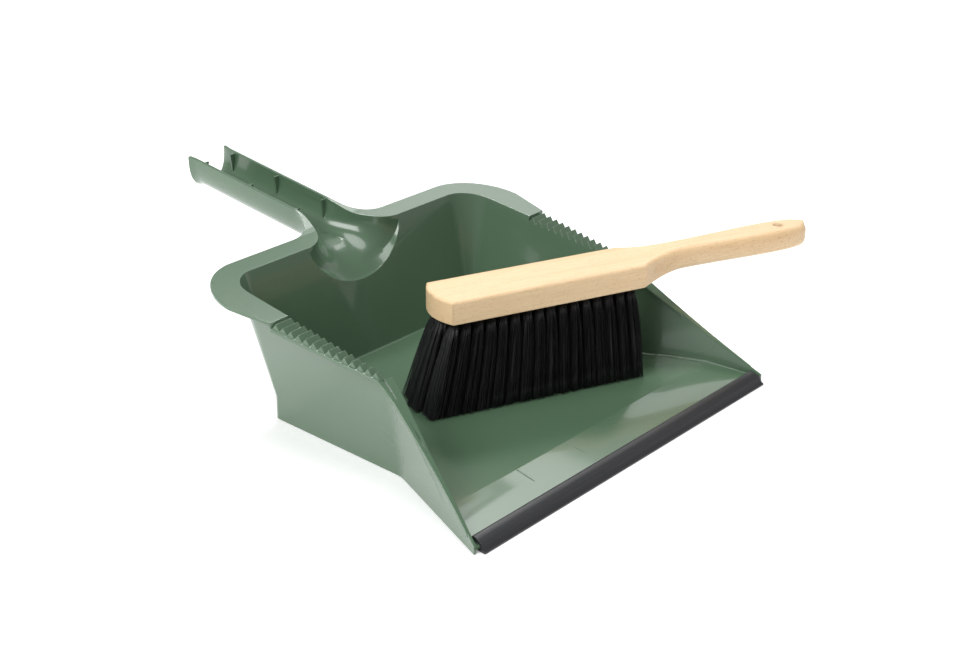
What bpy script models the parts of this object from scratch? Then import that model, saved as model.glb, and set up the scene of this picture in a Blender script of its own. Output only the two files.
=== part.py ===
"""Dust pan and brush set.

A one-piece moulded dust pan with a rubber lip clipped to its front edge, and a wooden hand brush
standing on its bristles on the pan's floor. Metres, +Z up. The pan stands on z = 0 with its lip
towards -Y and its handle towards +Y. It is modelled with the lip's front edge on y = 0 and its plane
of symmetry on x = 0; at the end the whole set is moved so that its bounding box is centred on x = y = 0.
"""
from math import cos, pi, radians, sin, sqrt, tan

import bmesh
import bpy
from mathutils import Matrix, Vector

MM = 0.001
GAP = 0.3 * MM                      # between pieces that touch
RUN_OUT = 20 * MM                   # how far a cutter runs past the faces that it opens
SMOOTH_ANGLE = radians(28)          # edges sharper than this stay sharp
SINK = 1 * MM                       # how far a small joined body reaches into what carries it

# Pan: half plan of the outer walls where they stand on the floor, and where they meet the flange
WALL = 2.5 * MM
TIP_Y = 5 * MM                      # front ends of the side walls
TIP_X_FOOT, TIP_X_TOP = 170 * MM, 176.5 * MM
KINK_X_FOOT, KINK_X_TOP = 121.3 * MM, 139.5 * MM
KINK_Y_FOOT, KINK_Y_TOP = 110.8 * MM, 106 * MM
REAR_X_FOOT, REAR_X_TOP = 111 * MM, 132.8 * MM
REAR_Y_FOOT, REAR_Y_TOP = 244.5 * MM, 268 * MM
REAR_RADIUS_FOOT, REAR_RADIUS_TOP = 6 * MM, 26 * MM
KINK_RADIUS = 30 * MM

# Pan: floor and ramp
CREASE_Y, CREASE_Z = 43 * MM, 12.5 * MM
FLOOR_SLOPE = 0.027
RAMP_EDGE_Z = 4.3 * MM              # top of the ramp at its front edge
FLOOR_THICKNESS, RAMP_THICKNESS = 2.5 * MM, 2.0 * MM
FLOOR_FILLET = 1.2 * MM             # between the floor and the walls, behind the crease
LIP_FILLET = 0.5 * MM               # the same, beside the lip
RAMP_RIB_X = (-81 * MM, -26 * MM)
RAMP_RIB_SIZE = (0.9 * MM, 15 * MM, 0.35 * MM)
RAMP_RIB_MARGIN = 1 * MM            # between a rib and the crease

# Pan: flange, combs and the slanted rims of the front walls
FLANGE_Z, FLANGE_Y, FLANGE_SLOPE = 98.4 * MM, 202.4 * MM, 0.16
FLANGE_THICKNESS = 2.5 * MM
FLANGE_WIDTH = 14 * MM              # outside the rear wall
FLANGE_CORNER_X = 157.4 * MM        # widest point, at the rear corners
FLANGE_CORNER_RADIUS = 47 * MM
COMB_REAR_Y, COMB_FRONT_Y = 202 * MM, 110 * MM
COMB_REAR_X, COMB_FRONT_X = 150 * MM, 142 * MM
COMB_TEETH = 14
COMB_DEPTH, COMB_VALLEY = 4.5 * MM, 0.3 * MM    # tooth tips and valleys, above the ledge
COMB_WEB = 1.2 * MM                 # full height behind the rear end of a comb
COMB_STEP = 0.4 * MM                # between the comb's ledge, its teeth and the slanted rim in front
COMB_BORDER = 1.3 * MM              # bare ledge outside the teeth
RIM_REAR_Z, RIM_FRONT_Z = 79.4 * MM, 5.5 * MM
RIM_SHOULDER_Y = 64 * MM
RIM_SHOULDER_WIDTH, RIM_SHOULDER_END = 8.5 * MM, 3.5 * MM    # from the wall's outer face
RIM_SHOULDER_THICKNESS = 2 * MM
RIM_BEAD_Y = 13 * MM                # front end of the bead outside a slanted rim
RIM_BEAD_WIDTH, RIM_BEAD_END = 3.6 * MM, 0.5 * MM
RIM_BEAD_THICKNESS = 2.2 * MM
# How far each solid stands above the finished top before the side profile trims it. They are all
# unlike, so that no two top faces lie in one plane.
TUB_EXCESS, LEDGE_EXCESS, FLANGE_EXCESS, HANDLE_EXCESS = 3 * MM, 4 * MM, 5 * MM, 7 * MM

# Pan: handle, an open channel that runs out of a scoop in the rear wall
HANDLE_END_Y = 427 * MM
HANDLE_HALF_WIDTH = 18.9 * MM
HANDLE_DEPTH = 25 * MM
HANDLE_WALL = 2.6 * MM
HANDLE_RISE = 4.8 * MM              # its rims above the plane of the flange
HANDLE_FLARE, HANDLE_FLARE_LENGTH = 1.4 * MM, 9 * MM
NECK_RADIUS = 30 * MM
SCOOP_BOTTOM_Z = 72.5 * MM
SCOOP_START_Y, SCOOP_LENGTH = 257 * MM, 36 * MM
HANDLE_RIB_Y = (312 * MM, 363 * MM, 413 * MM)
HANDLE_RIB_THICKNESS, HANDLE_RIB_HEIGHT, HANDLE_RIB_REACH = 1.6 * MM, 18 * MM, 5 * MM
HANDLE_RIB_DROP = 1 * MM            # their tops below the handle's rim

# Rubber lip
LIP_HALF_WIDTH_FRONT, LIP_HALF_WIDTH_REAR = 165 * MM, 163 * MM
LIP_DEPTH, LIP_HEIGHT = 13.2 * MM, 8.8 * MM
LIP_FLAP = 1.1 * MM                 # height of the thin front edge
LIP_WALL = 1.2 * MM                 # rubber in front of the ramp's edge and under it
LIP_BACK_RADIUS = 2.3 * MM

# Brush: block and handle are one piece of wood, measured from the toe along its own +X
BLOCK_WIDTH, BLOCK_HEIGHT = 44 * MM, 18 * MM
BLOCK_END = 163 * MM                # where the block gives way to the handle
TOE_BULGE = 6.5 * MM
BRUSH_LENGTH = 320 * MM
NECK_S, NECK_WIDTH = 206 * MM, 21 * MM
GRIP_S, GRIP_WIDTH = 283 * MM, 27 * MM
END_WIDTH = 13 * MM
HANDLE_LIFT, HANDLE_THIN = 3.0 * MM, 0.6 * MM
BLOCK_FILLET, GRIP_FILLET, FOOT_FILLET = 2.6 * MM, 5 * MM, 1.0 * MM
HANG_HOLE_S, HANG_HOLE_DIAMETER = 296 * MM, 8.6 * MM

# Bristles
TUFT_COLUMNS = 16
TUFT_ROWS = {"near": -1, "mid": 0, "far": 1}
TUFT_FIRST_S, TUFT_LAST_S = 12 * MM, 155.5 * MM
TUFT_ROW_PITCH = 13.2 * MM
TUFT_ROOT_RADIUS, TUFT_SOCKET_DEPTH = 2.6 * MM, 11 * MM
TUFT_SIDES = 12
SOCKET_RUN_OUT = 5 * MM             # how far the socket drills run out of the block
BRISTLE_LENGTH = 69 * MM            # free length, block to floor
BRISTLE_LEAN, BRISTLE_HEEL = 21 * MM, 3 * MM    # how far the toe and the heel splay outwards
BRISTLE_SPREAD = 3 * MM             # how far the long sides splay past the block
TOE_CROWN = 4 * MM                  # the middle row leads the others at the toe

# Where the brush stands in the pan
BRUSH_YAW = radians(-23)
BRUSH_TOE = Vector((-45.8 * MM, 148.0 * MM))


def ease(t):
    """Smooth step between 0 and 1."""
    t = min(1, max(0, t))
    return t * t * (3 - 2 * t)


def floor_z(y):
    """Top of the pan's floor, or of its ramp in front of the crease."""
    if y >= CREASE_Y:
        return CREASE_Z + FLOOR_SLOPE * (y - CREASE_Y)
    return CREASE_Z + (CREASE_Z - RAMP_EDGE_Z) * (y - CREASE_Y) / (CREASE_Y - TIP_Y)


def flange_z(y):
    """Top of the flange: a plane that falls towards the front."""
    return FLANGE_Z + FLANGE_SLOPE * (y - FLANGE_Y)


def rim_z(y):
    """Top of the handle's rims: the flange's plane, raised through the neck."""
    return flange_z(y) + HANDLE_RISE * ease((y - REAR_Y_TOP - FLANGE_WIDTH) / NECK_RADIUS)


# ---------------------------------------------------------------- mesh helpers

def add_object(name, bm, collection, material=None):
    """Make an object from a bmesh, faces pointing out, smooth but for its sharp edges."""
    bmesh.ops.remove_doubles(bm, verts=bm.verts, dist=1e-7)
    bmesh.ops.recalc_face_normals(bm, faces=bm.faces)
    mesh = bpy.data.meshes.new(name)
    bm.to_mesh(mesh)
    bm.free()
    mesh.shade_smooth()
    mesh.set_sharp_from_angle(angle=SMOOTH_ANGLE)
    if material:
        mesh.materials.append(material)
    obj = bpy.data.objects.new(name, mesh)
    collection.objects.link(obj)
    return obj


def loft(rings):
    """A closed solid through rings of equal length: quads between rings, strips across the ends.

    Each ring is a list of points on the +X side. Its mirror image closes it.
    """
    bm = bmesh.new()
    loops = []
    for ring in rings:
        right = [bm.verts.new(p) for p in ring]
        left = [bm.verts.new((-p[0], p[1], p[2])) for p in ring]
        loops.append(right + left[::-1])
    count = len(loops[0])
    for low, high in zip(loops, loops[1:]):
        for i in range(count):
            j = (i + 1) % count
            bm.faces.new((low[i], low[j], high[j], high[i]))
    for loop in (loops[0], loops[-1]):
        start = 0
        for i in range(1, count // 2):
            level = i + 1 < count // 2 and (loop[i + 1].co - loop[i].co).yz.length < 1e-9
            if not level:                          # points in line across share one strip
                bm.faces.new(loop[start:i + 1] + [loop[-k - 1] for k in range(i, start - 1, -1)])
                start = i
    return bm


def prism(outline, axis, start, end):
    """A flat outline swept along an axis: (y, z) points along axis 0, or (x, z) points along axis 1."""
    bm = bmesh.new()
    ends = []
    for level in (start, end):
        corners = [(level, a, b) if axis == 0 else (a, level, b) for a, b in outline]
        ends.append([bm.verts.new(corner) for corner in corners])
    for i in range(len(outline)):
        j = (i + 1) % len(outline)
        bm.faces.new((ends[0][i], ends[0][j], ends[1][j], ends[1][i]))
    bm.faces.new(ends[0])
    bm.faces.new(ends[1])
    return bm


def cylinder(radius, low, high, x, y, sides=24):
    """An upright cylinder."""
    bm = bmesh.new()
    place = Matrix.Translation((x, y, (low + high) / 2))
    bmesh.ops.create_cone(bm, cap_ends=True, segments=sides, radius1=radius, radius2=radius,
                          depth=high - low, matrix=place)
    return bm


def rounded(before, corner, after, radius, segments):
    """Points of the arc that rounds one corner of a plan outline."""
    corner = Vector(corner)
    u = (Vector(before) - corner).normalized()
    v = (Vector(after) - corner).normalized()
    half = u.angle(v) / 2
    centre = corner + (u + v).normalized() * (radius / sin(half))
    first = corner + u * (radius / tan(half)) - centre
    turn = (pi - 2 * half) * (-1 if u.cross(v) > 0 else 1)
    return [centre + Matrix.Rotation(turn * i / segments, 2) @ first for i in range(segments + 1)]


def arc(centre, radius, start, end, segments):
    """Points of an arc between two angles in degrees."""
    steps = [radians(start + (end - start) * i / segments) for i in range(segments + 1)]
    return [(centre[0] + radius * cos(a), centre[1] + radius * sin(a)) for a in steps]


def cut(obj, cutter, operation="DIFFERENCE"):
    """Boolean modifier with the exact solver."""
    modifier = obj.modifiers.new(f"{operation.lower()}_{cutter.name}", "BOOLEAN")
    modifier.operation = operation
    modifier.object = cutter
    modifier.solver = "EXACT"


def guide(name, bm):
    """An object that only cuts or joins: never rendered."""
    obj = add_object(name, bm, CUTTERS)
    obj.hide_render = True
    obj.display_type = "WIRE"
    return obj


def material(name, colour, roughness, metallic=0.0):
    """A plain Principled BSDF material."""
    mat = bpy.data.materials.new(name)
    mat.use_nodes = True
    shader = mat.node_tree.nodes["Principled BSDF"]
    shader.inputs["Base Color"].default_value = (*colour, 1)
    shader.inputs["Roughness"].default_value = roughness
    shader.inputs["Metallic"].default_value = metallic
    return mat


# ---------------------------------------------------------------- the pan

def wall_outline(top, inset, front_y):
    """Half plan of the walls, from the front to the middle of the rear."""
    tip_x = TIP_X_TOP if top else TIP_X_FOOT
    kink = (KINK_X_TOP, KINK_Y_TOP) if top else (KINK_X_FOOT, KINK_Y_FOOT)
    rear = (REAR_X_TOP, REAR_Y_TOP) if top else (REAR_X_FOOT, REAR_Y_FOOT)
    radius = max(REAR_RADIUS_TOP if top else REAR_RADIUS_FOOT, inset + 2 * MM) - inset
    flare = (tip_x - kink[0]) / (kink[1] - TIP_Y)
    front = (tip_x - inset + flare * (TIP_Y - front_y), front_y)
    lip_y = LIP_DEPTH + 2 * LIP_FILLET
    lip = (tip_x - inset - flare * (lip_y - TIP_Y), lip_y)
    crease = (tip_x - inset - flare * (CREASE_Y - TIP_Y), CREASE_Y)
    kink = (kink[0] - inset, kink[1])
    rear = (rear[0] - inset, rear[1] - inset)
    middle = (0, rear[1])
    points = [front, lip, crease]
    points += rounded(crease, kink, rear, KINK_RADIUS, 8)
    points += rounded(kink, rear, middle, radius, 12)
    return [tuple(p) for p in points]


def raised(outline, height):
    """Give each plan point the height that height(y) says."""
    return [Vector((x, y, height(y))) for x, y in outline]


def tub():
    """Everything inside the outer faces of the walls, to above the flange."""
    foot = wall_outline(False, 0, TIP_Y)
    top = wall_outline(True, 0, TIP_Y)
    return loft([raised(foot, lambda y: 0), raised(foot, floor_z),
                 raised(top, lambda y: flange_z(y) + TUB_EXCESS)])


def inside():
    """The space over the floor and ramp, with a fillet where the walls meet them."""
    front_y = TIP_Y - RUN_OUT
    foot = raised(wall_outline(False, WALL, front_y), floor_z)
    top = raised(wall_outline(True, WALL, front_y), flange_z)

    def fillet_ring(radius, angle):
        inset = WALL + radius * (1 - sin(angle))
        lift = radius * (1 - cos(angle))
        level = raised(wall_outline(False, inset, front_y), floor_z)
        return [p + (t - b) * (lift / (t.z - b.z)) for p, b, t in zip(level, foot, top)]

    rings = []
    for angle in (radians(a) for a in (0, 30, 60, 90)):
        # the first two points of an outline are beside the lip
        rings.append(fillet_ring(LIP_FILLET, angle)[:2] + fillet_ring(FLOOR_FILLET, angle)[2:])
    rings.append([b + (t - b) * 1.2 for b, t in zip(foot, top)])
    return loft(rings)


def underneath():
    """The hollow under the floor, inside the foot of the walls, open at the front for the lip."""
    def ceiling(y):
        thickness = FLOOR_THICKNESS if y > CREASE_Y else RAMP_THICKNESS
        return floor_z(y) - thickness

    foot = wall_outline(False, WALL, TIP_Y - RUN_OUT)
    return loft([raised(foot, lambda y: -RUN_OUT), raised(foot, ceiling)])


def flange_plate():
    """The flange's outer outline, solid; the inside cut leaves the flange of it."""
    rear_y = REAR_Y_TOP + FLANGE_WIDTH
    corner = (FLANGE_CORNER_X - FLANGE_CORNER_RADIUS, rear_y - FLANGE_CORNER_RADIUS)
    neck = (HANDLE_HALF_WIDTH + NECK_RADIUS, rear_y + NECK_RADIUS)
    outline = [(COMB_REAR_X, COMB_REAR_Y - COMB_WEB)]
    outline += arc(corner, FLANGE_CORNER_RADIUS, 0, 90, 18)
    outline += arc(neck, NECK_RADIUS, 270, 189, 12)
    outline.append((HANDLE_HALF_WIDTH / 2, outline[-1][1] + SINK))
    return loft([raised(outline, lambda y: rim_z(y) - FLANGE_THICKNESS),
                 raised(outline, lambda y: rim_z(y) + FLANGE_EXCESS)])


def comb_ledge():
    """The ledge that the comb's teeth stand on, with a web at its rear end."""
    outline = [(COMB_FRONT_X, COMB_FRONT_Y + COMB_STEP), (COMB_REAR_X, COMB_REAR_Y + COMB_WEB)]
    return loft([raised(outline, lambda y: flange_z(y) - COMB_DEPTH - FLANGE_THICKNESS),
                 raised(outline, lambda y: flange_z(y) + LEDGE_EXCESS)])


def comb_teeth():
    """The teeth of both combs, as one bar across the pan; the inside cut parts it."""
    pitch = (COMB_REAR_Y - COMB_FRONT_Y) / COMB_TEETH
    profile = []
    for i in range(2 * COMB_TEETH + 1):
        profile.append((COMB_FRONT_Y + pitch * i / 2, COMB_DEPTH if i % 2 else COMB_VALLEY))
    profile.append((COMB_REAR_Y + COMB_WEB / 2, COMB_VALLEY))
    low, high = [], []
    for y, height in profile:
        share = (y - COMB_FRONT_Y) / (COMB_REAR_Y - COMB_FRONT_Y)
        x = COMB_FRONT_X + (COMB_REAR_X - COMB_FRONT_X) * share - COMB_BORDER
        base = flange_z(y) - COMB_DEPTH
        low.append(Vector((x, y, base - SINK)))
        high.append(Vector((x, y, base + height)))
    return loft([low, high])


def rim_line(y):
    """Top of the slanted rims of the front walls."""
    return RIM_FRONT_Z + (RIM_REAR_Z - RIM_FRONT_Z) * (y - TIP_Y) / (COMB_FRONT_Y - TIP_Y)


def side_profile():
    """Cuts the pan to its side view: slanted rim, comb, flange, then the handle's rims."""
    front, rear = TIP_Y - RUN_OUT, HANDLE_END_Y + RUN_OUT
    above = rim_z(rear) + RUN_OUT
    half = FLANGE_CORNER_X + TIP_X_TOP
    neck = REAR_Y_TOP + FLANGE_WIDTH
    step = COMB_FRONT_Y - COMB_STEP
    outline = [(front, above), (front, rim_line(front)), (step, rim_line(step)),
               (step, flange_z(step) - COMB_DEPTH),
               (COMB_REAR_Y, flange_z(COMB_REAR_Y) - COMB_DEPTH), (COMB_REAR_Y, flange_z(COMB_REAR_Y))]
    for i in range(11):
        y = neck + NECK_RADIUS * i / 10
        outline.append((y, rim_z(y)))
    outline += [(rear, rim_z(rear)), (rear, above)]
    return prism(outline, 0, -half, half)


def wall_x(y):
    """Outer face of a side wall at the height of its slanted rim."""
    share = (rim_line(y) - floor_z(y)) / (flange_z(y) - floor_z(y))
    ahead_foot, ahead_top = max(0, KINK_Y_FOOT - y), max(0, KINK_Y_TOP - y)
    foot = KINK_X_FOOT + (TIP_X_FOOT - KINK_X_FOOT) * ahead_foot / (KINK_Y_FOOT - TIP_Y)
    top = KINK_X_TOP + (TIP_X_TOP - KINK_X_TOP) * ahead_top / (KINK_Y_TOP - TIP_Y)
    return foot + (top - foot) * share


def rim_strip(side, ends, buried, widths, thickness):
    """A tapering strip along a slanted rim: widths at its two ends, from the wall's outer face."""
    ledge = flange_z(COMB_FRONT_Y) - COMB_DEPTH
    steps = 6
    bm = bmesh.new()
    rings = []
    for i in range(steps + 1):
        y = ends[0] + (ends[1] - ends[0]) * i / steps
        near, far = wall_x(y) - buried, wall_x(y) + widths[0] + (widths[1] - widths[0]) * i / steps
        top = min(rim_line(y), ledge)
        corners = [(near, top), (far, top), (far, top - thickness), (near, top - thickness - SINK)]
        rings.append([bm.verts.new((side * x, y, z)) for x, z in corners])
    for rear, front in zip(rings, rings[1:]):
        for i in range(4):
            j = (i + 1) % 4
            bm.faces.new((rear[i], rear[j], front[j], front[i]))
    bm.faces.new(rings[0])
    bm.faces.new(rings[-1])
    return bm


def rim_shoulder(side):
    """Widens the rear of a slanted rim inwards, tapering to the wall's own width."""
    return rim_strip(side, (COMB_FRONT_Y - COMB_WEB, RIM_SHOULDER_Y), 0.8 * WALL,
                     (-RIM_SHOULDER_WIDTH, -RIM_SHOULDER_END), RIM_SHOULDER_THICKNESS)


def rim_bead(side):
    """A bead outside a slanted rim, from the comb's ledge to near the tip of the wall."""
    return rim_strip(side, (COMB_FRONT_Y + 2 * COMB_STEP, RIM_BEAD_Y), 0.35 * WALL,
                     (RIM_BEAD_WIDTH, RIM_BEAD_END), RIM_BEAD_THICKNESS)


def channel_section(y, offset, top):
    """Half of the handle's U at a given y: from its lowest point round to its rim, then to top."""
    t = min(1, max(0, (y - SCOOP_START_Y) / SCOOP_LENGTH))
    # the inner edge of the neck is a quarter of an ellipse, from the rear wall round to the handle
    neck_end = REAR_Y_TOP + FLANGE_WIDTH + NECK_RADIUS
    bend = min(1, max(0, (neck_end - y) / (neck_end - REAR_Y_TOP + WALL)))
    flare = max(0, (y - HANDLE_END_Y + HANDLE_FLARE_LENGTH) / HANDLE_FLARE_LENGTH) ** 2 * HANDLE_FLARE
    slim = HANDLE_HALF_WIDTH - HANDLE_WALL
    half = slim + (HANDLE_HALF_WIDTH + NECK_RADIUS - slim) * (1 - sqrt(1 - bend ** 2)) + flare + offset
    channel_floor = flange_z(y) + HANDLE_RISE - HANDLE_DEPTH + HANDLE_WALL
    drop = flange_z(SCOOP_START_Y) + HANDLE_RISE - HANDLE_DEPTH + HANDLE_WALL - SCOOP_BOTTOM_Z
    bottom = channel_floor - drop * (1 - t) ** 2 - flare * 1.5 - offset
    power = 2 / (2 + 0.8 * t)
    rim = rim_z(y)
    points = []
    for i in range(15):
        a = pi / 2 * i / 14
        points.append(Vector((half * sin(a) ** power, y, rim - (rim - bottom) * cos(a) ** power)))
    if top > 0:
        points.append(Vector((half, y, rim + top)))
    return points


def channel_stations(end):
    """Where the handle's sections are taken: close together through the scoop and at the flare."""
    start = REAR_Y_FOOT
    scoop = [start + (HANDLE_RIB_Y[0] - start) * i / 30 for i in range(30)]
    straight = [HANDLE_RIB_Y[0], HANDLE_END_Y - HANDLE_FLARE_LENGTH]
    flare = [HANDLE_END_Y - HANDLE_FLARE_LENGTH * (1 - i / 4) for i in range(1, 5)]
    return scoop + straight + flare + ([end] if end > HANDLE_END_Y else [])


def handle_outer():
    """The handle's outer form, solid, from inside the rear wall to its open end."""
    return loft([channel_section(y, HANDLE_WALL, HANDLE_EXCESS) for y in channel_stations(HANDLE_END_Y)])


def handle_inner():
    """The channel and the scoop, open at the top and at the end."""
    return loft([channel_section(y, 0, RUN_OUT) for y in channel_stations(HANDLE_END_Y + RUN_OUT)])


def handle_rib(y, side):
    """A thin fin inside the channel's wall, deepest at its top."""
    top = rim_z(y) - HANDLE_RIB_DROP
    foot = top - HANDLE_RIB_HEIGHT
    wall = [p for p in channel_section(y, HANDLE_WALL / 2, 0) if foot < p.z < top]
    slim = HANDLE_HALF_WIDTH - HANDLE_WALL
    outline = [(side * p.x, p.z) for p in wall]
    outline += [(side * (slim + HANDLE_WALL / 2), top), (side * (slim - HANDLE_RIB_REACH), top),
                (side * (slim - 0.75 * HANDLE_RIB_REACH), top - 0.45 * HANDLE_RIB_HEIGHT)]
    return prism(outline, 1, y - HANDLE_RIB_THICKNESS / 2, y + HANDLE_RIB_THICKNESS / 2)


def ramp_rib(x):
    """A low raised line on the ramp, square to the crease."""
    width, length, height = RAMP_RIB_SIZE
    rear = CREASE_Y - RAMP_RIB_MARGIN
    front = rear - length
    outline = [(rear, floor_z(rear) - SINK), (rear, floor_z(rear) + height),
               (front, floor_z(front) + height), (front, floor_z(front) - SINK)]
    return prism(outline, 0, x - width / 2, x + width / 2)


def small_features():
    """Shoulders, beads and ribs: separate little bodies, joined to the pan together."""
    bm = bmesh.new()
    pieces = [ramp_rib(x) for x in RAMP_RIB_X]
    for side in (-1, 1):
        pieces += [rim_shoulder(side), rim_bead(side)]
        pieces += [handle_rib(y, side) for y in HANDLE_RIB_Y]
    for piece in pieces:
        mesh = bpy.data.meshes.new("feature")
        bmesh.ops.recalc_face_normals(piece, faces=piece.faces)
        piece.to_mesh(mesh)
        piece.free()
        bm.from_mesh(mesh)
        bpy.data.meshes.remove(mesh)
    return bm


def weld(obj):
    """Merges the near-duplicate points that a cut leaves where edges cross."""
    modifier = obj.modifiers.new("weld", "WELD")
    modifier.merge_threshold = 2e-6


def make_dustpan(collection, mat):
    """The pan: one moulding."""
    pan = add_object("dustpan", tub(), collection, mat)
    for name, bm in (("flange_plate", flange_plate()), ("comb_ledge", comb_ledge()),
                     ("handle_outer", handle_outer())):
        cut(pan, guide(name, bm), "UNION")
    cut(pan, guide("side_profile", side_profile()))
    weld(pan)
    cut(pan, guide("comb_teeth", comb_teeth()), "UNION")
    cut(pan, guide("inside_cut", inside()))
    cut(pan, guide("channel_cut", handle_inner()))
    weld(pan)
    cut(pan, guide("under_cut", underneath()))
    cut(pan, guide("small_features", small_features()), "UNION")
    weld(pan)
    return pan


# ---------------------------------------------------------------- the rubber lip

def make_lip(collection, mat):
    """A rubber strip with a slot that clips over the ramp's front edge."""
    def ramp_top(y):
        return floor_z(y) + GAP

    def ramp_bottom(y):
        return floor_z(y) - RAMP_THICKNESS - GAP

    slot_y = TIP_Y - GAP
    jaw_y = LIP_DEPTH - LIP_WALL / 2
    crest_y, crest_z = slot_y - LIP_WALL, ramp_top(slot_y) + LIP_WALL
    front = [(0, 0), (0, LIP_FLAP)]
    # the front sweeps up from the thin flap in a hollow curve, then the top swells to a round back
    hollow = [(crest_y * t, LIP_FLAP + (crest_z - LIP_FLAP) * t ** 1.7) for t in (0.3, 0.55, 0.78, 1)]
    back_y, back_z = LIP_DEPTH - LIP_BACK_RADIUS, LIP_HEIGHT - LIP_BACK_RADIUS
    top = [(crest_y + (back_y - crest_y) * t, crest_z + (LIP_HEIGHT - crest_z) * sin(pi / 2 * t))
           for t in (0.12, 0.26, 0.42, 0.6, 0.8)]
    back = arc((back_y, back_z), LIP_BACK_RADIUS, 90, -5, 7)
    slot = [(jaw_y, ramp_top(jaw_y)), (slot_y, ramp_top(slot_y)), (slot_y, ramp_bottom(slot_y)),
            (jaw_y, ramp_bottom(jaw_y)), (jaw_y, ramp_bottom(jaw_y) - LIP_WALL), (LIP_DEPTH / 2, 0)]
    outline = front + hollow + top + back + slot
    bm = bmesh.new()
    ends = []
    for side in (-1, 1):
        ring = []
        for y, z in outline:
            half = LIP_HALF_WIDTH_FRONT + (LIP_HALF_WIDTH_REAR - LIP_HALF_WIDTH_FRONT) * y / LIP_DEPTH
            ring.append(bm.verts.new((side * half, y, z)))
        ends.append(ring)
    for i in range(len(outline)):
        j = (i + 1) % len(outline)
        bm.faces.new((ends[0][i], ends[0][j], ends[1][j], ends[1][i]))
    bm.faces.new(ends[0])
    bm.faces.new(ends[1])
    return add_object("rubber_lip", bm, collection, mat)


# ---------------------------------------------------------------- the brush

def to_pan(point):
    """A point of the brush, as placed in the pan."""
    turned = Matrix.Rotation(BRUSH_YAW, 3, "Z") @ Vector(point)
    return turned + Vector((*BRUSH_TOE, brush_z()))


def brush_z():
    """Underside of the block when the brush stands on the pan's floor."""
    middle = Vector(((TUFT_FIRST_S + TUFT_LAST_S) / 2, 0, 0))
    y = (Matrix.Rotation(BRUSH_YAW, 3, "Z") @ middle).y + BRUSH_TOE.y
    return floor_z(y) + GAP + BRISTLE_LENGTH


def half_plan():
    """Half outline of the wood, toe to end, as (s, half width)."""
    half = BLOCK_WIDTH / 2
    toe_radius = (half ** 2 + TOE_BULGE ** 2) / (2 * TOE_BULGE)
    points = []
    for i in range(9):
        w = half * i / 8
        points.append((toe_radius - sqrt(toe_radius ** 2 - w ** 2), w))
    points += [(BLOCK_END * 0.5, half), (BLOCK_END, half)]
    for i in range(1, 11):                         # the block narrows into the neck
        t = i / 10
        w = half + (NECK_WIDTH / 2 - half) * (1 - (1 - t) ** 2.2)
        points.append((BLOCK_END + (NECK_S - BLOCK_END) * t, w))
    for i in range(1, 7):                          # the neck swells into the grip
        t = i / 6
        w = NECK_WIDTH / 2 + (GRIP_WIDTH - NECK_WIDTH) / 2 * ease(t)
        points.append((NECK_S + (GRIP_S - NECK_S) * t, w))
    end_s = BRUSH_LENGTH - 2 * MM
    for i in range(1, 9):                          # the grip rounds off towards its end
        t = i / 8
        w = END_WIDTH / 2 + (GRIP_WIDTH - END_WIDTH) / 2 * sqrt(max(0, 1 - t ** 2.4))
        points.append((GRIP_S + (end_s - GRIP_S) * t, w))
    points += [(BRUSH_LENGTH - 0.7 * MM, END_WIDTH * 0.3), (BRUSH_LENGTH, 0)]
    return points


def wood_levels(s):
    """Bottom and top of the wood at a distance s from the toe."""
    lift = HANDLE_LIFT * ease((s - BLOCK_END) / (NECK_S - BLOCK_END))
    thin = HANDLE_THIN * ease((s - BLOCK_END) / (NECK_S - BLOCK_END))
    return lift, BLOCK_HEIGHT + lift - thin


def wood_body():
    """The block and handle: the plan outline with rounded top and bottom edges."""
    plan = half_plan()
    count = len(plan)
    normals = []
    for i, (s, w) in enumerate(plan):
        before, after = plan[max(0, i - 1)], plan[min(count - 1, i + 1)]
        along = Vector((after[0] - before[0], after[1] - before[1])).normalized()
        if i == 0:
            normals.append(Vector((-1, 0)))
        elif i == count - 1:
            normals.append(Vector((1, 0)))
        else:
            normals.append(Vector((-along.y, along.x)))

    def ring(top, angle):
        points = []
        for (s, w), n in zip(plan, normals):
            low, high = wood_levels(s)
            share = ease((s - BLOCK_END) / (NECK_S - BLOCK_END))
            radius = BLOCK_FILLET + (GRIP_FILLET - BLOCK_FILLET) * share
            if not top:
                radius = FOOT_FILLET + (GRIP_FILLET - FOOT_FILLET) * share
            inset = min(radius * (1 - cos(angle)), 0.85 * w)
            z = high - radius * (1 - sin(angle)) if top else low + radius * (1 - sin(angle))
            points.append((s - n.x * inset, max(0, w - n.y * inset), z))
        return points

    steps = [radians(a) for a in (90, 60, 30, 0)]
    rings = [ring(False, a) for a in steps] + [ring(True, a) for a in reversed(steps)]
    # the loft mirrors across x, so the outline is lofted along y and turned to lie along x
    bm = loft([[Vector((w, s, z)) for s, w, z in points] for points in rings])
    bmesh.ops.rotate(bm, verts=bm.verts, matrix=Matrix.Rotation(-pi / 2, 3, "Z"))
    return bm


def tuft_root(column, row):
    """Centre of a tuft's socket in the block's underside."""
    share = column / (TUFT_COLUMNS - 1)
    s = TUFT_FIRST_S + (TUFT_LAST_S - TUFT_FIRST_S) * share
    crown = TOE_CROWN * 0.75 * (1 - abs(row)) * (1 - share) ** 3
    return s - crown, row * TUFT_ROW_PITCH


def tuft_edge(column):
    """Where the tips of a column begin, along the brush."""
    share = column / TUFT_COLUMNS
    half = (TUFT_LAST_S - TUFT_FIRST_S) / (TUFT_COLUMNS - 1) / 2
    s = TUFT_FIRST_S - half + (TUFT_LAST_S - TUFT_FIRST_S + 2 * half) * share
    return s - BRISTLE_LEAN * (1 - share) ** 2 + BRISTLE_HEEL * share ** 2


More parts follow.
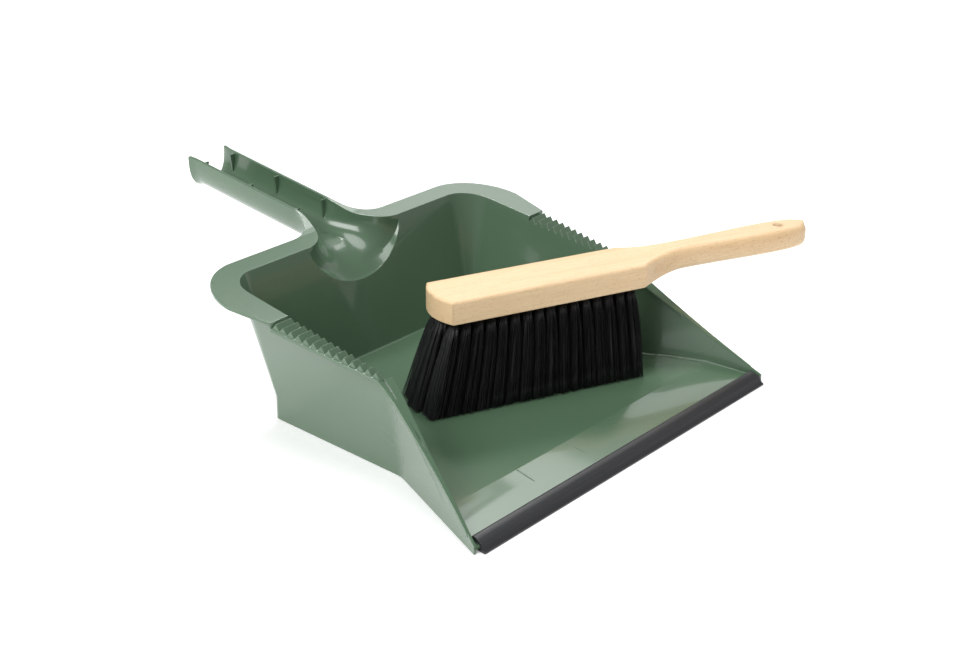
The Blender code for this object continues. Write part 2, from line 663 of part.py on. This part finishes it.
def tuft_body(column, row):
    """One tuft: a round root that opens out to fill its share of the bristle field at the floor."""
    root = Vector(tuft_root(column, row))
    crown = TOE_CROWN * (1 - abs(row)) * (1 - column / TUFT_COLUMNS) ** 3
    start, end = tuft_edge(column) - crown, tuft_edge(column + 1)
    end -= TOE_CROWN * (1 - abs(row)) * (1 - (column + 1) / TUFT_COLUMNS) ** 3
    row_width = (BLOCK_WIDTH + 2 * BRISTLE_SPREAD) / len(TUFT_ROWS)
    tip = Vector(((start + end) / 2, row * row_width))
    half = Vector(((end - start - GAP) / 2, (row_width - GAP) / 2))
    bm = bmesh.new()
    loops = []
    for share in (-1, 0, 0.35, 0.7, 1):
        spread = max(0, share)
        centre = root.lerp(tip, spread)
        power = 1 - 0.5 * spread                   # round at the root, almost square at the tip
        loop = []
        for i in range(TUFT_SIDES):
            a = 2 * pi * (i + 0.5) / TUFT_SIDES
            cx = abs(cos(a)) ** power * (1 if cos(a) > 0 else -1)
            cy = abs(sin(a)) ** power * (1 if sin(a) > 0 else -1)
            x = centre.x + cx * (TUFT_ROOT_RADIUS + (half.x - TUFT_ROOT_RADIUS) * spread)
            y = centre.y + cy * (TUFT_ROOT_RADIUS + (half.y - TUFT_ROOT_RADIUS) * spread)
            if share < 0:
                z = TUFT_SOCKET_DEPTH - GAP
            else:
                floor = floor_z(to_pan((x, y, 0)).y) + GAP - brush_z()
                z = floor * spread
            loop.append(bm.verts.new((x, y, z)))
        loops.append(loop)
    for low, high in zip(loops, loops[1:]):
        for i in range(TUFT_SIDES):
            j = (i + 1) % TUFT_SIDES
            bm.faces.new((low[i], low[j], high[j], high[i]))
    bm.faces.new(loops[0])
    bm.faces.new(loops[-1])
    return bm


def make_brush(collection, wood, bristle):
    """The brush, under an empty on the line that it is lifted along."""
    lift = bpy.data.objects.new("brush_lift", None)
    lift.location = (*BRUSH_TOE, brush_z())
    lift.rotation_euler.z = BRUSH_YAW
    collection.objects.link(lift)

    handle = add_object("brush_handle", wood_body(), collection, wood)
    handle.parent = lift
    bore = cylinder(HANG_HOLE_DIAMETER / 2, -RUN_OUT, BLOCK_HEIGHT + RUN_OUT, HANG_HOLE_S, 0)
    hole = guide("hang_hole", bore)
    hole.parent = lift
    cut(handle, hole)
    sockets = []
    for row_name, row in TUFT_ROWS.items():
        for column in range(TUFT_COLUMNS):
            name = f"tuft_{row_name}_{column + 1:02d}"
            tuft = add_object(name, tuft_body(column, row), collection, bristle)
            tuft.parent = lift
            sockets.append(tuft_root(column, row))
    bm = bmesh.new()
    for s, w in sockets:
        place = Matrix.Translation((s, w, (TUFT_SOCKET_DEPTH - SOCKET_RUN_OUT) / 2))
        radius = TUFT_ROOT_RADIUS + GAP
        bmesh.ops.create_cone(bm, cap_ends=True, segments=TUFT_SIDES, radius1=radius, radius2=radius,
                              depth=TUFT_SOCKET_DEPTH + SOCKET_RUN_OUT, matrix=place)
    drill = guide("sockets", bm)
    drill.parent = lift
    cut(handle, drill)


# ---------------------------------------------------------------- the object

def centre_on_box(collections):
    """Move everything in plan so that the parts' bounding box is centred on x = y = 0."""
    bpy.context.view_layer.update()
    depsgraph = bpy.context.evaluated_depsgraph_get()
    corners = []
    for obj in PARTS.objects:
        if obj.type == "MESH":
            shown = obj.evaluated_get(depsgraph)
            corners += [shown.matrix_world @ v.co for v in shown.data.vertices]
    middle = [(min(c[i] for c in corners) + max(c[i] for c in corners)) / 2 for i in (0, 1)]
    for collection in collections:
        for obj in collection.objects:
            if obj.parent is None:
                obj.location -= Vector((*middle, 0))


for old in list(bpy.data.objects):
    bpy.data.objects.remove(old)
PARTS = bpy.data.collections.new("dust_pan_and_brush_set")
CUTTERS = bpy.data.collections.new("cutters")
bpy.context.scene.collection.children.link(PARTS)
bpy.context.scene.collection.children.link(CUTTERS)

green_plastic = material("green_plastic", (0.060, 0.120, 0.065), 0.3)
black_rubber = material("black_rubber", (0.018, 0.018, 0.020), 0.5)
beech = material("beech", (0.72, 0.52, 0.32), 0.5)
black_bristle = material("black_bristle", (0.012, 0.012, 0.013), 0.45)

make_dustpan(PARTS, green_plastic)
make_lip(PARTS, black_rubber)
make_brush(PARTS, beech, black_bristle)
centre_on_box((PARTS, CUTTERS))
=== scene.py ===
"""Looks of the dust pan and brush set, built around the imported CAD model.

The pan, the lip and the wood are cleaned copies of their CAD meshes, the pan and the lip with their
sharp edges rounded. Every tuft becomes a bundle of separate fibres round a dark core, between its
CAD root and its CAD tip. Metres, +Z up, in the CAD's frame.
"""
from math import cos, pi, radians, sin
import random

import bmesh
import bpy
from mathutils import Matrix, Vector


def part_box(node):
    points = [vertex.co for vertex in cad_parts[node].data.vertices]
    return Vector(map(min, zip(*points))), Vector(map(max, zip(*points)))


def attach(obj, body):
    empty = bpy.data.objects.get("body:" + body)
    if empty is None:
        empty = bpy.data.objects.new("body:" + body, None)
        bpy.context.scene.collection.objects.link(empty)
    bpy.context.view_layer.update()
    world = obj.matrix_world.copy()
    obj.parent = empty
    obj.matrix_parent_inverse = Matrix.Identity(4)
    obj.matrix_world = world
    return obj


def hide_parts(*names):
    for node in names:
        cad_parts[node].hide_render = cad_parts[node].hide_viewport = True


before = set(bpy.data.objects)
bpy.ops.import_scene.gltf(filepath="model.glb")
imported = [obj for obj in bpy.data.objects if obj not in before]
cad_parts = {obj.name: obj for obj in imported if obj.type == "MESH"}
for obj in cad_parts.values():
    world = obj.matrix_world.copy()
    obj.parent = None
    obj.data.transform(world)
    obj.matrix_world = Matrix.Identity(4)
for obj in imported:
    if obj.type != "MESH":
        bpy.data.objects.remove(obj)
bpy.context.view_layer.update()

MM = 0.001
lip_low, lip_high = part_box("rubber_lip")
LIP_FRONT = Vector(((lip_low.x + lip_high.x) / 2, lip_low.y, 0))    # middle of the lip's front edge
BRUSH_YAW = radians(-23)                                            # as the brush stands in the pan
WELD = 1e-6                                                         # joins vertices at one place

# Camera, from the middle of the lip's front edge
CAMERA_OFFSET = Vector((-0.9221, -0.6285, 0.5732))
CAMERA_AZIMUTH, CAMERA_ELEVATION = radians(-50.2437), radians(22.868)
CAMERA_LENS, SENSOR_WIDTH = 67.01, 36

# Studio: a pale backdrop on the camera's far side, and a dimmer room round the rest
BACKDROP_GREYS = ((0.0, 0.60), (0.44, 0.60), (0.50, 0.22))    # by the sine of the height
BACKDROP_SIDES = -0.2, 0.5                # cosines to the view between which the backdrop comes in
ROOM_GREY = 0.28
SUN_POWER, SUN_ANGLE = 1.4, radians(38)   # an even overhead light, as from a wide diffuser
SUN_FROM = Vector((0.10, -0.12, 1))
FLOOR_REACH, FLOOR_DROP = 12, 0.2 * MM    # from its middle to its edge, and below the feet
FLOOR_GLOW = 0.24                         # keeps the floor pale far from the lights
SOFT_BOXES = (                            # name, place, aimed at, size, watts
    # high on the right, it shows in the ramp beside the lip and in the scoop
    ("right_high", (2.42, 1.0, 2.95), (-0.12, -0.185, 0.01), (1.1, 1.05), 12.5),
    # below it and wider, it shows in the rear flange
    ("right_low", (2.98, 1.52, 2.17), (0, -0.1, 0.05), (1.5, 0.8), 5.3),
    # high on the left, it lights the outside of the wall and the brush's toe
    ("left", (-1.66, 0.1, 1.42), (-0.05, -0.05, 0.05), (1.6, 1.0), 37),
    # small and near, it shows as a patch in the scoop
    ("scoop_patch", (0.62, 0.55, 1.25), (0, 0.05, 0.1), (0.26, 0.22), 6),
)

# Colours
PLASTIC_GREENS = (0.079, 0.142, 0.084), (0.085, 0.150, 0.090)
RUBBER_GREYS = (0.014, 0.015, 0.017), (0.022, 0.023, 0.026)
RUBBER_DUST = (0.07, 0.073, 0.075)
BEECH_BANDS = (0.77, 0.53, 0.30), (0.82, 0.60, 0.36), (0.73, 0.49, 0.26)
BEECH_GRAIN, BEECH_FLECK = (0.60, 0.36, 0.16), (0.45, 0.25, 0.11)
FIBRE_BLACKS = (0.006, 0.006, 0.007), (0.022, 0.022, 0.024)
FLOOR_GREYS = 0.90, 0.93

# Edges
EDGE_ANGLE = radians(24)                  # edges sharper than this are rounded
FLAT_ANGLE = radians(0.05)                # faces that meet flatter than this become one
SHORT_EDGE = 0.2 * MM                     # edges shorter than this are merged
EDGE_SEGMENTS = 2
PAN_EDGE, LIP_EDGE = 0.4 * MM, 0.15 * MM
WOOD_EDGE = 0.0                           # the wood's edges are round in the CAD

# Bristles
FIBRES_SEEN, FIBRES_HIDDEN = 240, 70      # in a tuft of an outer row or an end, and in one between
FIBRE_ROOT_RADIUS, FIBRE_TIP_RADIUS = 0.19 * MM, 0.11 * MM
FIBRE_STEPS, FIBRE_SIDES = 5, 3
FIBRE_SMOOTH = radians(100)               # a fibre's sides are shaded round, its ends are not
RING_GAP = 5 * MM                         # a CAD tuft's rings of points lie further apart than this
LOCKS_PER_TUFT = 9                        # strands that fibres gather into
LOCK_PULL = 0.3                           # the most that a fibre turns towards its lock
CORE_WIDTH = 0.78                         # of the dark core among a tuft's fibres
INNERMOST, CROWDING = 0.15, 0.4           # below 1, crowding sets more fibres near the outside
TIP_CORNERS = 0.6                         # below 1, the tips fill the corners of a square
OPENING = 0.45                            # below 1, a tuft opens out soon after its root
WAVE, WAVE_SPREAD = 0.7 * MM, 0.8         # how far fibres bow aside, and how unlike in one lock
OVERREACH = 1.18                          # fibres reach a little into the tufts beside them
TIP_LIFT, RAGGED = 0.3 * MM, 2.2 * MM     # of the longest tips, and how unequal the tips are


# ---------------------------------------------------------------- node helpers

class Nodes:
    """A material's node tree with short calls to add nodes and join them."""

    def __init__(self, name):
        self.material = bpy.data.materials.new(name)
        self.material.use_nodes = True
        self.tree = self.material.node_tree
        self.shader = self.tree.nodes["Principled BSDF"]

    def add(self, kind, **settings):
        node = self.tree.nodes.new(kind)
        for key, value in settings.items():
            setattr(node, key, value)
        return node

    def link(self, source, target):
        self.tree.links.new(source, target)

    def coordinates(self, scale=(1, 1, 1), turn=0.0):
        """Object coordinates in metres, turned about Z and scaled."""
        place = self.add("ShaderNodeTexCoord")
        turned = self.add("ShaderNodeMapping", vector_type="POINT")
        turned.inputs["Rotation"].default_value = (0, 0, turn)
        stretched = self.add("ShaderNodeMapping", vector_type="POINT")
        stretched.inputs["Scale"].default_value = scale
        self.link(place.outputs["Object"], turned.inputs["Vector"])
        self.link(turned.outputs["Vector"], stretched.inputs["Vector"])
        return stretched.outputs["Vector"]

    def noise(self, vector, scale, detail=3.0, roughness=0.5, distortion=0.0):
        node = self.add("ShaderNodeTexNoise")
        self.link(vector, node.inputs["Vector"])
        node.inputs["Scale"].default_value = scale
        node.inputs["Detail"].default_value = detail
        node.inputs["Roughness"].default_value = roughness
        node.inputs["Distortion"].default_value = distortion
        return node.outputs["Fac"]

    def ramp(self, factor, *stops):
        """A colour ramp through (position, colour) stops; a colour may be a grey number."""
        node = self.add("ShaderNodeValToRGB")
        ramp = node.color_ramp
        while len(ramp.elements) < len(stops):
            ramp.elements.new(0.5)
        for element, (position, colour) in zip(ramp.elements, stops):
            element.position = position
            if isinstance(colour, (int, float)):
                colour = (colour, colour, colour)
            element.color = (*colour, 1)
        self.link(factor, node.inputs["Fac"])
        return node.outputs["Color"]

    def mix(self, factor, a, b):
        """Mix two colours; each may be a colour or an output."""
        node = self.add("ShaderNodeMix", data_type="RGBA")
        for socket, value in ((node.inputs[0], factor), (node.inputs[6], a), (node.inputs[7], b)):
            if isinstance(value, bpy.types.NodeSocket):
                self.link(value, socket)
            elif isinstance(value, tuple):
                socket.default_value = (*value, 1)
            else:
                socket.default_value = value
        return node.outputs[2]

    def span(self, value, low, high):
        """Map 0..1 to low..high."""
        node = self.add("ShaderNodeMapRange")
        node.inputs["To Min"].default_value = low
        node.inputs["To Max"].default_value = high
        self.link(value, node.inputs["Value"])
        return node.outputs["Result"]

    def bump(self, height, distance, strength=1.0, below=None):
        """A bump of a height map, on top of another bump."""
        node = self.add("ShaderNodeBump")
        node.inputs["Distance"].default_value = distance
        node.inputs["Strength"].default_value = strength
        self.link(height, node.inputs["Height"])
        if below is not None:
            self.link(below, node.inputs["Normal"])
        return node.outputs["Normal"]

    def set(self, **values):
        """Set the shader's sockets, by name with _ for a space, to outputs or plain values."""
        for name, value in values.items():
            socket = self.shader.inputs[name.replace("_", " ")]
            if isinstance(value, bpy.types.NodeSocket):
                self.link(value, socket)
            else:
                socket.default_value = value
        return self.material


# ---------------------------------------------------------------- materials

def green_plastic():
    """Dark green polypropylene: glossy, hardly mottled, with a very fine orange peel."""
    n = Nodes("green_plastic_fine")
    where = n.coordinates()
    cloud = n.noise(where, 7, detail=2)
    base = n.ramp(cloud, (0.3, PLASTIC_GREENS[0]), (0.7, PLASTIC_GREENS[1]))
    peel = n.noise(where, 700, detail=1)
    sweep = n.noise(n.coordinates(scale=(14, 5, 9)), 1, detail=1)
    normal = n.bump(peel, 0.02 * MM, 0.15)
    gloss = n.span(sweep, 0.22, 0.30)
    return n.set(Base_Color=base, Roughness=gloss, Normal=normal, IOR=1.5,
                 Coat_Weight=0.6, Coat_Roughness=0.06)


def black_rubber():
    """Extruded rubber: dark grey, streaked along its length, with a trace of dust."""
    n = Nodes("black_rubber_fine")
    streak = n.noise(n.coordinates(scale=(8, 1500, 1500)), 1, detail=3)
    dust = n.noise(n.coordinates(), 350, detail=5, roughness=0.7)
    base = n.ramp(streak, (0.3, RUBBER_GREYS[0]), (0.7, RUBBER_GREYS[1]))
    base = n.mix(n.ramp(dust, (0.62, 0.0), (0.88, 0.15)), base, RUBBER_DUST)
    normal = n.bump(streak, 0.04 * MM, 0.5)
    normal = n.bump(dust, 0.03 * MM, 0.3, normal)
    return n.set(Base_Color=base, Roughness=n.span(dust, 0.28, 0.55), Normal=normal, IOR=1.52)


def beech():
    """Pale beech: long fine grain, short ray flecks, and a thin satin lacquer."""
    n = Nodes("beech_fine")
    turn = -BRUSH_YAW
    rings = n.noise(n.coordinates(scale=(3.5, 90, 60), turn=turn), 1, detail=4, distortion=0.6)
    grain = n.noise(n.coordinates(scale=(40, 1400, 1100), turn=turn), 1, detail=4, roughness=0.6)
    fleck = n.noise(n.coordinates(scale=(330, 2600, 1500), turn=turn), 1, detail=1)
    base = n.ramp(rings, *zip((0.25, 0.5, 0.75), BEECH_BANDS))
    base = n.mix(n.ramp(grain, (0.45, 0.0), (0.75, 0.45)), base, BEECH_GRAIN)
    base = n.mix(n.ramp(fleck, (0.62, 0.0), (0.72, 0.50)), base, BEECH_FLECK)
    normal = n.bump(grain, 0.05 * MM, 0.5)
    normal = n.bump(fleck, 0.04 * MM, 0.4, normal)
    return n.set(Base_Color=base, Roughness=n.span(grain, 0.40, 0.60), Normal=normal,
                 Coat_Weight=0.2, Coat_Roughness=0.3)


def black_fibre():
    """Stiff black fibre with a soft shine, each lighter or darker along its length."""
    n = Nodes("black_fibre_fine")
    tone = n.noise(n.coordinates(scale=(900, 900, 30)), 1, detail=2)
    base = n.ramp(tone, (0.3, FIBRE_BLACKS[0]), (0.7, FIBRE_BLACKS[1]))
    return n.set(Base_Color=base, Roughness=n.span(tone, 0.28, 0.45), IOR=1.5)


# ---------------------------------------------------------------- meshes

def finish_mesh(obj, material):
    """Give a piece one material and put it in the scene."""
    obj.data.materials.clear()
    obj.data.materials.append(material)
    bpy.context.scene.collection.objects.link(obj)


def room_beside(edge):
    """How far the narrower of an edge's two faces reaches from it."""
    start, along = edge.verts[0].co, (edge.verts[1].co - edge.verts[0].co).normalized()

    def reach(vertex):
        aside = vertex.co - start
        return (aside - along * aside.dot(along)).length

    return min(max(reach(v) for v in face.verts) for face in edge.link_faces)


def edge_rounded(name, node, width, material):
    """A cleaned copy of a CAD node, its sharp edges rounded where there is room beside them."""
    bm = bmesh.new()
    bm.from_mesh(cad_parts[node].data)
    bmesh.ops.remove_doubles(bm, verts=bm.verts, dist=WELD)
    bmesh.ops.dissolve_degenerate(bm, dist=SHORT_EDGE, edges=bm.edges)
    bmesh.ops.dissolve_limit(bm, angle_limit=FLAT_ANGLE, verts=bm.verts, edges=bm.edges)
    if width > 0:
        sharp = [e for e in bm.edges if len(e.link_faces) == 2 and e.calc_face_angle() > EDGE_ANGLE
                 and room_beside(e) > 2 * width]
        bmesh.ops.bevel(bm, geom=sharp, offset=width, offset_type="OFFSET", segments=EDGE_SEGMENTS,
                        profile=0.5, affect="EDGES", clamp_overlap=False)
    mesh = bpy.data.meshes.new(name)
    bm.to_mesh(mesh)
    bm.free()
    mesh.shade_smooth()
    obj = bpy.data.objects.new(name, mesh)
    finish_mesh(obj, material)
    weighted = obj.modifiers.new("weighted", "WEIGHTED_NORMAL")
    weighted.weight = 100
    weighted.keep_sharp = False
    return obj


# ---------------------------------------------------------------- bristles

def tuft_rings(node):
    """The CAD tuft's rings of points, from its root down to its tip."""
    bm = bmesh.new()
    bm.from_mesh(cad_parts[node].data)
    bmesh.ops.remove_doubles(bm, verts=bm.verts, dist=WELD)
    points = sorted((v.co.copy() for v in bm.verts), key=lambda p: -p.z)
    bm.free()
    rings = [[points[0]]]
    for point in points[1:]:
        if rings[-1][-1].z - point.z > RING_GAP:
            rings.append([])
        rings[-1].append(point)
    return rings


def extent(ring):
    """Centre of a ring and its half sizes along and across the brush."""
    centre = sum(ring, Vector()) / len(ring)
    turned = [Matrix.Rotation(-BRUSH_YAW, 3, "Z") @ (p - centre) for p in ring]
    return centre, max(p.x for p in turned), max(p.y for p in turned)


def add_tube(bm, path, radii):
    """A thin tapered tube along a path, closed at both ends."""
    angles = [2 * pi * i / FIBRE_SIDES for i in range(FIBRE_SIDES)]
    corners = [Vector((cos(a), sin(a), 0)) for a in angles]
    loops = []
    for point, radius in zip(path, radii):
        loops.append([bm.verts.new(point + c * radius) for c in corners])
    for low, high in zip(loops, loops[1:]):
        for i in range(FIBRE_SIDES):
            j = (i + 1) % FIBRE_SIDES
            bm.faces.new((low[i], high[i], high[j], low[j]))
    bm.faces.new(loops[0])
    bm.faces.new(loops[-1][::-1])


def add_core(bm, rings):
    """A narrower copy of the tuft's solid below its root, dark between the fibres."""
    loops = []
    for ring in rings:
        centre = extent(ring)[0]
        narrow = [centre + (p - centre) * CORE_WIDTH for p in ring]
        centre = extent(narrow)[0]
        narrow.sort(key=lambda p: Vector((p.x - centre.x, p.y - centre.y)).angle_signed(Vector((1, 0))))
        loops.append([bm.verts.new(p) for p in narrow])
    for low, high in zip(loops, loops[1:]):
        for i in range(len(low)):
            j = (i + 1) % len(low)
            bm.faces.new((low[i], low[j], high[j], high[i]))
    bm.faces.new(loops[0])
    bm.faces.new(loops[-1])


def on_rounded_square(angle, power):
    """A point on a unit circle, moved towards a square's corners by a power below 1."""
    c, s = cos(angle), sin(angle)
    return abs(c) ** power * (1 if c > 0 else -1), abs(s) ** power * (1 if s > 0 else -1)


def bristle_bundle(node, count, material):
    """A tuft as separate fibres round a dark core, gathered into a few locks."""
    chance = random.Random(node)
    rings = tuft_rings(node)
    root, root_x, root_y = extent(rings[1])
    tip, tip_x, tip_y = extent(rings[-1])
    lowest = min(p.z for p in rings[-1])
    turn = Matrix.Rotation(BRUSH_YAW, 3, "Z")
    locks = []
    for _ in range(LOCKS_PER_TUFT):
        angle = chance.uniform(0, 2 * pi)
        chance.random()                    # this draw only keeps the later ones in step
        locks.append((angle, chance.uniform(-1, 1), chance.uniform(-1, 1)))

    bm = bmesh.new()
    add_core(bm, rings[1:])
    for _ in range(count):
        angle, reach = chance.uniform(0, 2 * pi), chance.uniform(INNERMOST, 1) ** CROWDING
        lock = min(locks, key=lambda k: abs((k[0] - angle + pi) % (2 * pi) - pi))
        pull = chance.uniform(0.0, LOCK_PULL)
        near = (lock[0] - angle + pi) % (2 * pi) - pi
        low_x, low_y = on_rounded_square(angle + near * pull, TIP_CORNERS)
        high_x, high_y = on_rounded_square(angle, 1)
        start = root + turn @ Vector((high_x * root_x * reach, high_y * root_y * reach, 0))
        wide = reach * OVERREACH
        end = tip + turn @ Vector((low_x * tip_x * wide, low_y * tip_y * wide, 0))
        end.z = lowest + TIP_LIFT + RAGGED * chance.random() ** 3
        bend_x = lock[1] + chance.uniform(-WAVE_SPREAD, WAVE_SPREAD)
        bend_y = lock[2] + chance.uniform(-WAVE_SPREAD, WAVE_SPREAD)
        bend = turn @ Vector((bend_x, bend_y, 0))
        path, radii = [], []
        for i in range(FIBRE_STEPS + 1):
            t = i / FIBRE_STEPS
            spread = (start - root).lerp(end - tip, t ** OPENING)
            spread.z = (start.z - root.z) * (1 - t) + (end.z - tip.z) * t
            path.append(root.lerp(tip, t) + spread + bend * (WAVE * sin(pi * t)))
            radii.append(FIBRE_ROOT_RADIUS + (FIBRE_TIP_RADIUS - FIBRE_ROOT_RADIUS) * t)
        add_tube(bm, path, radii)
    bmesh.ops.recalc_face_normals(bm, faces=bm.faces)
    mesh = bpy.data.meshes.new(node + "_fibres")
    bm.to_mesh(mesh)
    bm.free()
    mesh.shade_smooth()
    mesh.set_sharp_from_angle(angle=FIBRE_SMOOTH)
    bundle = bpy.data.objects.new(node + "_fibres", mesh)
    finish_mesh(bundle, material)
    return bundle


# ---------------------------------------------------------------- stage

def make_camera():
    """The camera at the photo's place, with depth of field off."""
    data = bpy.data.cameras.new("camera")
    data.lens = CAMERA_LENS
    data.sensor_width = SENSOR_WIDTH
    camera = bpy.data.objects.new("camera", data)
    camera.location = LIP_FRONT + CAMERA_OFFSET
    camera.rotation_euler = (pi / 2 - CAMERA_ELEVATION, 0, CAMERA_AZIMUTH)
    bpy.context.scene.collection.objects.link(camera)
    bpy.context.scene.camera = camera


def area_light(name, location, target, size, power):
    """A soft box that points at a target and that the camera does not see."""
    data = bpy.data.lights.new(name, "AREA")
    data.shape = "RECTANGLE"
    data.size, data.size_y = size
    data.energy = power
    light = bpy.data.objects.new(name, data)
    light.location = location
    light.rotation_euler = (Vector(target) - Vector(location)).to_track_quat("-Z", "Y").to_euler()
    light.visible_camera = False
    bpy.context.scene.collection.objects.link(light)


def make_floor():
    """A wide pale floor with a faint gloss."""
    n = Nodes("pale_floor")
    haze = n.noise(n.coordinates(), 6, detail=3)
    n.set(Base_Color=n.ramp(haze, (0.3, FLOOR_GREYS[0]), (0.7, FLOOR_GREYS[1])),
          Roughness=n.span(haze, 0.30, 0.36),
          Emission_Color=(1, 1, 1, 1), Emission_Strength=FLOOR_GLOW)
    bm = bmesh.new()
    bmesh.ops.create_grid(bm, x_segments=4, y_segments=4, size=FLOOR_REACH)
    mesh = bpy.data.meshes.new("floor")
    bm.to_mesh(mesh)
    bm.free()
    floor = bpy.data.objects.new("floor", mesh)
    floor.location.z = -FLOOR_DROP
    finish_mesh(floor, n.material)


def make_world():
    """A pale backdrop low on the side away from the camera, and a dimmer room elsewhere."""
    world = bpy.data.worlds.new("studio")
    world.use_nodes = True
    tree = world.node_tree
    background = tree.nodes["Background"]
    place = tree.nodes.new("ShaderNodeTexCoord")
    split = tree.nodes.new("ShaderNodeSeparateXYZ")
    tree.links.new(place.outputs["Generated"], split.inputs["Vector"])
    backdrop = tree.nodes.new("ShaderNodeValToRGB")
    backdrop.color_ramp.elements.new(0.3)
    for element, (height, grey) in zip(backdrop.color_ramp.elements, BACKDROP_GREYS):
        element.position = height
        element.color = (grey, grey, grey, 1)
    tree.links.new(split.outputs["Z"], backdrop.inputs["Fac"])
    facing = tree.nodes.new("ShaderNodeVectorMath")
    facing.operation = "DOT_PRODUCT"
    facing.inputs[1].default_value = (-sin(CAMERA_AZIMUTH), cos(CAMERA_AZIMUTH), 0)
    tree.links.new(place.outputs["Generated"], facing.inputs[0])
    side = tree.nodes.new("ShaderNodeMapRange")
    side.interpolation_type = "SMOOTHSTEP"
    side.inputs["From Min"].default_value, side.inputs["From Max"].default_value = BACKDROP_SIDES
    tree.links.new(facing.outputs["Value"], side.inputs["Value"])
    mix = tree.nodes.new("ShaderNodeMix")
    mix.data_type = "RGBA"
    mix.inputs[6].default_value = (ROOM_GREY, ROOM_GREY, ROOM_GREY, 1)
    tree.links.new(side.outputs["Result"], mix.inputs[0])
    tree.links.new(backdrop.outputs["Color"], mix.inputs[7])
    tree.links.new(mix.outputs[2], background.inputs["Color"])
    bpy.context.scene.world = world
    bpy.context.scene.view_settings.view_transform = "Standard"


def make_lights():
    """A wide overhead light and soft boxes."""
    sun = bpy.data.lights.new("overhead", "SUN")
    sun.energy, sun.angle = SUN_POWER, SUN_ANGLE
    lamp = bpy.data.objects.new("overhead", sun)
    lamp.rotation_euler = (-SUN_FROM).to_track_quat("-Z", "Y").to_euler()
    bpy.context.scene.collection.objects.link(lamp)
    for name, place, target, size, power in SOFT_BOXES:
        area_light(name, place, target, size, power)


make_camera()
make_floor()
make_world()
make_lights()

plastic, rubber, wood, fibre = green_plastic(), black_rubber(), beech(), black_fibre()

pan = edge_rounded("pan_moulding", "dustpan", PAN_EDGE, plastic)
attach(pan, "pan")
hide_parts("dustpan")

lip = edge_rounded("lip_extrusion", "rubber_lip", LIP_EDGE, rubber)
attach(lip, "pan")
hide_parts("rubber_lip")

block = edge_rounded("brush_wood", "brush_handle", WOOD_EDGE, wood)
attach(block, "brush")
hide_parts("brush_handle")

for name in sorted(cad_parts):
    if name.startswith("tuft"):
        seen = "mid" not in name or name.endswith(("_01", "_16"))
        bundle = bristle_bundle(name, FIBRES_SEEN if seen else FIBRES_HIDDEN, fibre)
        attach(bundle, "brush")
        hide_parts(name)
